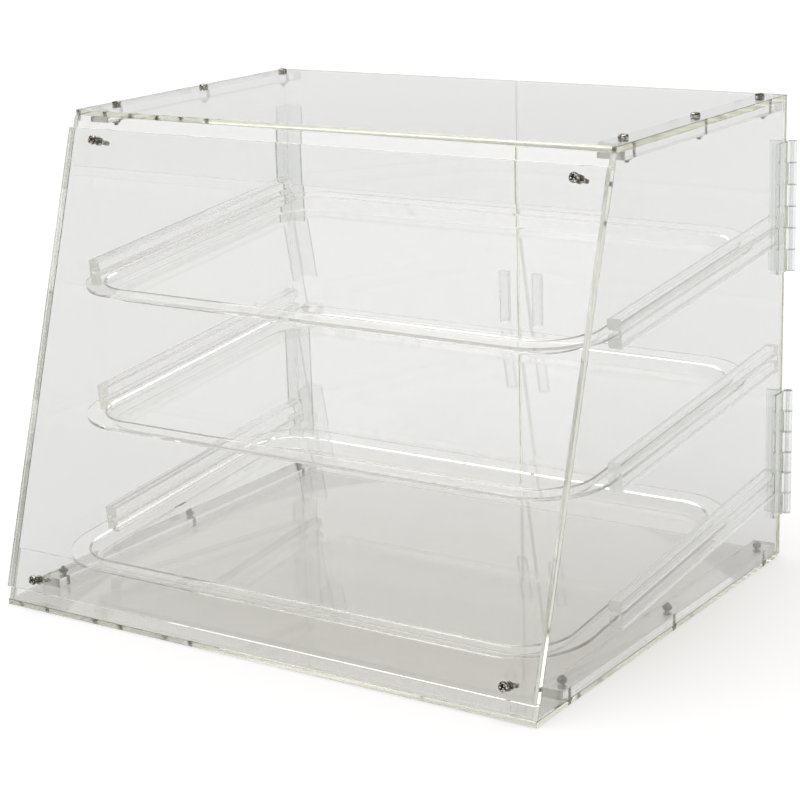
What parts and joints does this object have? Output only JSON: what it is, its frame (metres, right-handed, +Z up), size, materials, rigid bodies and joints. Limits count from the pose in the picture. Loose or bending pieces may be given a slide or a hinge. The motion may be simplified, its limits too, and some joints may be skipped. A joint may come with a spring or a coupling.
{
  "type": "countertop bread display bin",
  "caption": "Clear acrylic countertop case with a slanted front, hinged rear doors and shallow trays that slide on sloping guides, for showing bread, rolls and pastries.",
  "frame": {"origin": "centre of the base panel's underside", "axes": "+X to the right seen from the front, +Y to the rear doors, +Z up"},
  "size_m": [0.5482, 0.4445, 0.416],
  "materials": {
    "acrylic_sheet": "clear polished acrylic sheet",
    "acrylic_bar": "clear polished acrylic bar",
    "tray_plastic": "clear moulded plastic, smooth",
    "hinge_plastic": "clear moulded leaves and clear rod pins, smooth",
    "steel_hardware": "dull plated steel, on the screws and nuts of the visual model"
  },
  "bodies": {
    "case": {"base_panel": "acrylic_sheet", "front_bottom_strip": "acrylic_sheet", "front_panel": "acrylic_sheet", "front_top_strip": "acrylic_sheet", "left_bottom_bar": "acrylic_bar", "left_lower_hinge_pin": "hinge_plastic", "left_lower_hinge_side_leaf": "hinge_plastic", "left_lower_tray_guide": "acrylic_bar", "left_middle_tray_guide": "acrylic_bar", "left_side_panel": "acrylic_sheet", "left_top_bar": "acrylic_bar", "left_upper_hinge_pin": "hinge_plastic", "left_upper_hinge_side_leaf": "hinge_plastic", "left_upper_tray_guide": "acrylic_bar", "right_bottom_bar": "acrylic_bar", "right_lower_hinge_pin": "hinge_plastic", "right_lower_hinge_side_leaf": "hinge_plastic", "right_lower_tray_guide": "acrylic_bar", "right_middle_tray_guide": "acrylic_bar", "right_side_panel": "acrylic_sheet", "right_top_bar": "acrylic_bar", "right_upper_hinge_pin": "hinge_plastic", "right_upper_hinge_side_leaf": "hinge_plastic", "right_upper_tray_guide": "acrylic_bar", "top_panel": "acrylic_sheet"},
    "left_door": {"left_door": "acrylic_sheet", "left_door_pull": "acrylic_sheet", "left_lower_hinge_door_leaf": "hinge_plastic", "left_upper_hinge_door_leaf": "hinge_plastic"},
    "right_door": {"right_door": "acrylic_sheet", "right_door_pull": "acrylic_sheet", "right_lower_hinge_door_leaf": "hinge_plastic", "right_upper_hinge_door_leaf": "hinge_plastic"},
    "lower_tray": {"lower_tray": "tray_plastic"},
    "middle_tray": {"middle_tray": "tray_plastic"},
    "upper_tray": {"upper_tray": "tray_plastic"}
  },
  "joints": [
    {"name": "left_door_hinge", "type": "hinge", "parent": "case", "child": "left_door", "pos_m": [-0.2701, 0.22485, 0.208], "axis": [0, 0, 1], "range_deg": [0, 265]},
    {"name": "right_door_hinge", "type": "hinge", "parent": "case", "child": "right_door", "pos_m": [0.2701, 0.22485, 0.208], "axis": [0, 0, -1], "range_deg": [0, 265]},
    {"name": "lower_tray_slide", "type": "slide", "parent": "case", "child": "lower_tray", "axis": [0, 0.9951, 0.0993], "range_m": [-0.0265, 0.0515]},
    {"name": "middle_tray_slide", "type": "slide", "parent": "case", "child": "middle_tray", "axis": [0, 0.9951, 0.0993], "range_m": [-0.028, 0.0183]},
    {"name": "upper_tray_slide", "type": "slide", "parent": "case", "child": "upper_tray", "axis": [0, 0.9951, 0.0993], "range_m": [-0.0009, 0.0083]}
  ]
}
